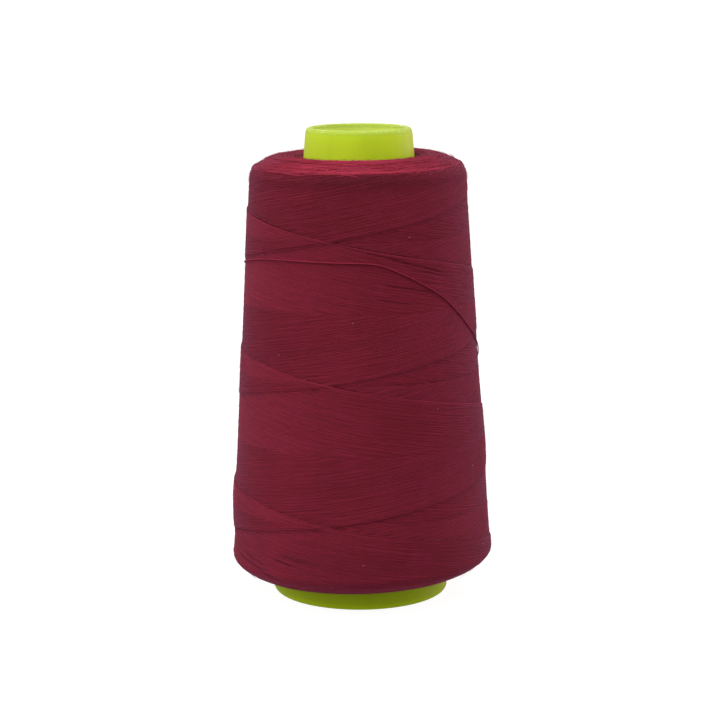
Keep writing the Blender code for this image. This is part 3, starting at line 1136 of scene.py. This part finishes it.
loose_line, loose_run = loose_centres()
loose_points = two_ply_rings(loose_line, loose_run).reshape(-1, 3)
loose_faces = grid_faces(LOOSE_POINTS, LOOSE_SIDES, wrap_rows=False)[:, ::-1].tolist()
loose_faces.append(list(range(LOOSE_SIDES)))
loose_faces.append(list(range(len(loose_points) - 1, len(loose_points) - LOOSE_SIDES - 1, -1)))
loose_material = thread_material("crimson thread, loose end", plied=True)
loose_end = new_piece("loose_thread", loose_points, loose_faces, loose_material)
loose_tones = np.full(len(loose_points), LOOSE_LIT_TONE)
tell_thread(loose_end, loose_tones, ring_places(loose_line, LOOSE_SIDES))
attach(loose_end, "root")
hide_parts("loose_end")

# The table: a plain white floor that curves up all round, far from the cone. It glows a little
# itself, so that the shadow on it stays faint, and it throws no light back onto the cone.
FLOOR_RADIUS = 4.0
FLOOR_SWEEP = 1.5
FLOOR_WALL = 3.5
FLOOR_AROUND = 96
FLOOR_GLOW = 0.92
FLOOR_DARK = (0.21, 0.21, 0.21, 1)
FLOOR_LIGHT = (0.23, 0.23, 0.23, 1)
floor_material, shader, place = new_material(
    "white floor",
    {
        "Roughness": 0.9,
        "Specular IOR Level": 0.1,
        "Emission Color": (1, 1, 1, 1),
        "Emission Strength": FLOOR_GLOW,
    },
)
feed(shader, {"Base Color": place.noise(4, 2).mix(FLOOR_DARK, FLOOR_LIGHT)})
sweep = np.array(rounded((FLOOR_RADIUS, FLOOR_SWEEP), FLOOR_SWEEP, -90, 0, 12))
sweep = np.vstack((sweep, (FLOOR_RADIUS + FLOOR_SWEEP, FLOOR_WALL)))
floor_turns = np.arange(FLOOR_AROUND) / FLOOR_AROUND
floor_points = around(sweep[:, :1], sweep[:, 1:], floor_turns[None, :]).reshape(-1, 3)
floor_faces = grid_faces(len(sweep), FLOOR_AROUND, wrap_rows=False).tolist()
floor_faces.append(list(range(FLOOR_AROUND)))
floor = new_piece("floor", floor_points, floor_faces, floor_material)
floor.visible_diffuse = False
floor.visible_glossy = False
floor.visible_shadow = False

# The light: a pale room, dimmer below, with large soft lamps overhead and at both sides. The side
# lamps are slightly pink.
ROOM_STRENGTH = 0.72
ROOM_BELOW = (0.62, 0.60, 0.62, 1)
ROOM_ABOVE = (1.0, 1.0, 1.0, 1)
HORIZON = (-0.15, 0.0)
LAMP_WIDTH = 0.8
LAMP_AIM = (0, 0, 0.06)
# Each lamp: its name, its place, its power in watts and its colour.
LAMPS = (
    ("overhead lamp", (-0.03, -0.40, 1.0), 9.2, (1.0, 0.99, 0.98)),
    ("left lamp", (-1.0, -0.20, 0.55), 4.6, (1.0, 0.90, 0.95)),
    ("right lamp", (1.0, 0.42, 0.30), 4.6, (1.0, 0.64, 0.86)),
)
world = bpy.data.worlds.new("pale room")
bpy.context.scene.world = world
world.use_nodes = True
sky = Wire(world.node_tree)
upward = sky.node("ShaderNodeTexCoord").split(2)
room_light = upward.between(*HORIZON).mix(ROOM_BELOW, ROOM_ABOVE)
background = world.node_tree.nodes["Background"]
world.node_tree.links.new(room_light.socket, background.inputs["Color"])
background.inputs["Strength"].default_value = ROOM_STRENGTH


def soft_lamp(name, place, power, colour):
    """A square area lamp, turned to the middle of the cone and not seen itself."""
    lamp = bpy.data.lights.new(name, "AREA")
    lamp.shape = "SQUARE"
    lamp.size = LAMP_WIDTH
    lamp.energy = power
    lamp.color = colour
    holder = bpy.data.objects.new(name, lamp)
    holder.location = place
    aim = Vector(LAMP_AIM) - Vector(place)
    holder.rotation_euler = aim.to_track_quat("-Z", "Y").to_euler()
    bpy.context.scene.collection.objects.link(holder)
    holder.visible_camera = False


for lamp_row in LAMPS:
    soft_lamp(*lamp_row)

# The camera: in front of the cone, a little above it, looking down at about ten degrees.
CAMERA_PLACE = (0.00007, -0.520, 0.155)
CAMERA_DOWN = 10.601
CAMERA_ROLL = -0.22
CAMERA_LENS = 107.27
lens = bpy.data.cameras.new("camera")
lens.lens = CAMERA_LENS
lens.sensor_width = 36
lens.clip_start = 0.01
lens.clip_end = 50
camera = bpy.data.objects.new("camera", lens)
camera.location = CAMERA_PLACE
level = Euler((math.radians(90 - CAMERA_DOWN), 0, 0)).to_matrix()
roll = Euler((0, 0, math.radians(CAMERA_ROLL))).to_matrix()
camera.rotation_euler = (level @ roll).to_euler()
bpy.context.scene.collection.objects.link(camera)
bpy.context.scene.camera = camera
bpy.context.scene.view_settings.view_transform = "Standard"
